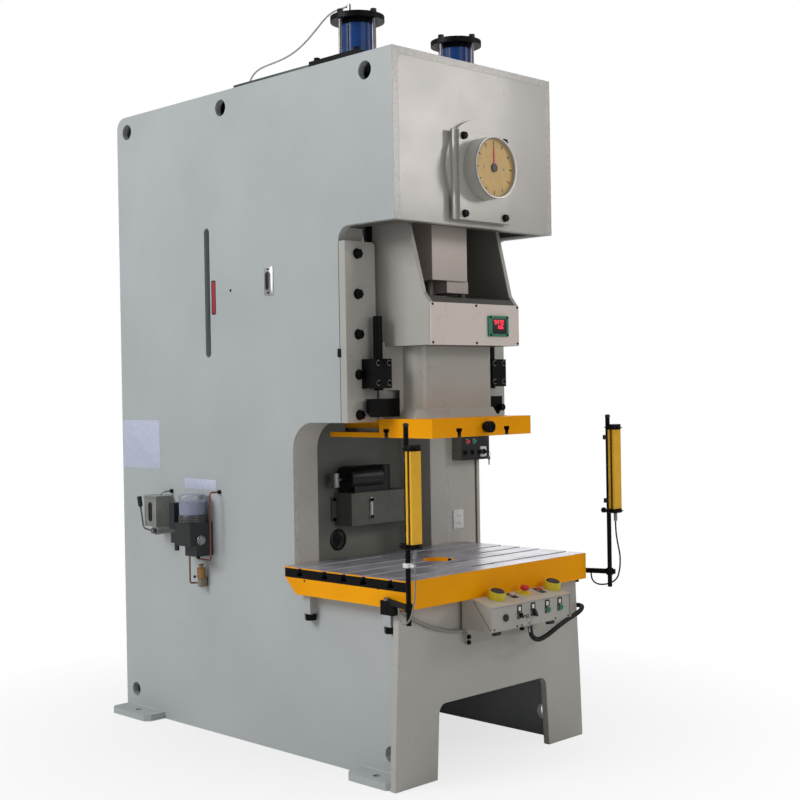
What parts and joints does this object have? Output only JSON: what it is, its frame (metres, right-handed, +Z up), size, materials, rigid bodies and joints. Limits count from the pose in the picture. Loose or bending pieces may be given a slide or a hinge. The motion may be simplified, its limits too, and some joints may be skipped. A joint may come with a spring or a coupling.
{
  "type": "mechanical stamping press",
  "caption": "Open-fronted single-crank stamping press: welded C-frame, guided slide over a slotted bolster, two-hand control box, light curtains, cabinet and balance cylinders.",
  "frame": {"origin": "on the floor, at the centre of the rectangle of the four anchor holes", "axes": "+X to the right as seen from the operator's side, +Y to the back of the press, +Z up"},
  "size_m": [1.3882, 2.2225, 3.241],
  "materials": {
    "grey_enamel": "semi-gloss enamel, pale grey-green",
    "front_enamel": "semi-gloss enamel, warm grey",
    "amber_enamel": "amber enamel, working face ground bare",
    "yellow_enamel": "yellow enamel",
    "blue_enamel": "blue enamel",
    "motor_enamel": "dark enamel",
    "pump_grey": "grey enamel",
    "black_oxide": "black oxide",
    "ground_steel": "ground steel",
    "grey_iron": "machined grey iron",
    "chrome": "hard chrome",
    "brushed_aluminium": "brushed aluminium",
    "silver_button": "satin aluminium",
    "brass": "plain brass and copper",
    "dark_plastic": "matt plastic",
    "green_plastic": "gloss plastic",
    "red_plastic": "gloss plastic",
    "yellow_plastic": "gloss plastic",
    "white_plastic": "nylon tube",
    "clear_plastic": "clear plastic",
    "black_rubber": "matt rubber",
    "grey_conduit": "corrugated conduit"
  },
  "bodies": {
    "frame": {"side_plate_left": "grey_enamel", "side_plate_right": "grey_enamel", "head_front": "front_enamel", "head_roof": "grey_enamel", "head_plates": "grey_enamel", "back_wall": "grey_enamel", "throat_columns": "front_enamel", "gibs": "front_enamel", "bed_front": "front_enamel", "rear_plate": "grey_enamel", "bolster": "amber_enamel", "frame_bolts": "black_oxide", "knockout_stops": "black_oxide", "motor": "motor_enamel", "dial_case": "front_enamel", "balancer_tubes": "blue_enamel", "balancer_flanges": "black_oxide", "balancer_tie_rods": "chrome", "cabinet": "front_enamel", "lamp_box": "dark_plastic", "curtain_stands": "black_oxide", "light_curtains": "yellow_enamel", "control_box": "front_enamel", "guard_rings": "yellow_plastic", "panel_fittings": "dark_plastic", "button_bezels": "brushed_aluminium", "overload_unit": "pump_grey", "hand_pump": "pump_grey", "lube_pump": "pump_grey", "reservoir": "clear_plastic", "oil_pipes": "brass", "air_tube": "white_plastic", "curtain_cable_left": "black_rubber", "curtain_cable_right": "black_rubber", "panel_hose": "black_rubber", "panel_conduit": "grey_conduit"},
    "crank": {"crankshaft": "ground_steel", "dial_pointer": "red_plastic"},
    "connection": {"connecting_rod": "front_enamel"},
    "slide": {"slide_body": "front_enamel", "slide_plate": "amber_enamel", "slide_cover": "front_enamel", "balancer_rods": "chrome", "adjusting_screw": "ground_steel"},
    "shaft": {"pinion_shaft": "ground_steel"},
    "flywheel": {"flywheel": "grey_iron"},
    "pulley": {"motor_pulley": "grey_iron"},
    "knockout": {"knockout_bar": "ground_steel"},
    "lever": {"pump_lever": "chrome"},
    "door": {"cabinet_door": "front_enamel"},
    "palm_left": {"palm_left": "dark_plastic"},
    "palm_right": {"palm_right": "dark_plastic"},
    "emergency_stop": {"emergency_stop": "red_plastic"},
    "ready_button": {"ready_button": "silver_button"},
    "reset_button": {"reset_button": "red_plastic"},
    "start_button": {"start_button": "green_plastic"},
    "run_button": {"run_button": "green_plastic"},
    "key_switch": {"key_switch": "dark_plastic"},
    "mode_selector": {"mode_selector": "dark_plastic"}
  },
  "joints": [
    {"name": "crank_turn", "type": "hinge", "parent": "frame", "child": "crank", "pos_m": [0, -0.648, 2.511], "axis": [0, 1, 0], "range_deg": [0, 180]},
    {"name": "connection_stroke", "type": "slide", "parent": "frame", "child": "connection", "axis": [0, 0, -1], "range_m": [0, 0.16]},
    {"name": "die_height", "type": "slide", "parent": "connection", "child": "slide", "axis": [0, 0, -1], "range_m": [0, 0.09]},
    {"name": "pinion_turn", "type": "hinge", "parent": "frame", "child": "shaft", "pos_m": [0, 0.3, 2.049], "axis": [0, 1, 0], "range_deg": [-900, 0]},
    {"name": "flywheel_spin", "type": "hinge", "parent": "frame", "child": "flywheel", "pos_m": [0, 0.46, 2.049], "axis": [0, 1, 0], "continuous": true},
    {"name": "pulley_spin", "type": "hinge", "parent": "frame", "child": "pulley", "pos_m": [0, 0.46, 1.15], "axis": [0, 1, 0], "continuous": true},
    {"name": "knockout_lift", "type": "slide", "parent": "slide", "child": "knockout", "axis": [0, 0, 1], "range_m": [0, 0.0345]},
    {"name": "lever_pump", "type": "hinge", "parent": "frame", "child": "lever", "pos_m": [-0.615, 0.604, 0.932], "axis": [1, 0, 0], "range_deg": [-45, 10]},
    {"name": "door_swing", "type": "hinge", "parent": "frame", "child": "door", "pos_m": [0.685, 0.509, 1.3], "axis": [0, 0, 1], "range_deg": [0, 110]},
    {"name": "palm_left_press", "type": "slide", "parent": "frame", "child": "palm_left", "axis": [0, 0.2337, -0.9723], "range_m": [0, 0.006], "stiffness_N_per_m": 1500},
    {"name": "palm_right_press", "type": "slide", "parent": "frame", "child": "palm_right", "axis": [0, 0.2337, -0.9723], "range_m": [0, 0.006], "stiffness_N_per_m": 1500},
    {"name": "emergency_stop_press", "type": "slide", "parent": "frame", "child": "emergency_stop", "axis": [0, 0.2337, -0.9723], "range_m": [0, 0.005], "stiffness_N_per_m": 2000},
    {"name": "ready_button_press", "type": "slide", "parent": "frame", "child": "ready_button", "axis": [0, 0.2337, -0.9723], "range_m": [0, 0.003], "stiffness_N_per_m": 1200},
    {"name": "reset_button_press", "type": "slide", "parent": "frame", "child": "reset_button", "axis": [0, 0.2337, -0.9723], "range_m": [0, 0.003], "stiffness_N_per_m": 1200},
    {"name": "start_button_press", "type": "slide", "parent": "frame", "child": "start_button", "axis": [0, 1, 0], "range_m": [0, 0.003], "stiffness_N_per_m": 1200},
    {"name": "run_button_press", "type": "slide", "parent": "frame", "child": "run_button", "axis": [0, 1, 0], "range_m": [0, 0.003], "stiffness_N_per_m": 1200},
    {"name": "key_turn", "type": "hinge", "parent": "frame", "child": "key_switch", "pos_m": [-0.043, -1.18, 0.648], "axis": [0, 1, 0], "range_deg": [0, 90]},
    {"name": "mode_turn", "type": "hinge", "parent": "frame", "child": "mode_selector", "pos_m": [0.044, -1.18, 0.648], "axis": [0, 1, 0], "range_deg": [-45, 45]}
  ],
  "couplings": [
    {"joint": "connection_stroke", "follows": "crank_turn", "m_per_rad": 0.05093},
    {"joint": "pinion_turn", "follows": "crank_turn", "ratio": -5},
    {"joint": "pulley_spin", "follows": "flywheel_spin", "ratio": 5.375}
  ]
}
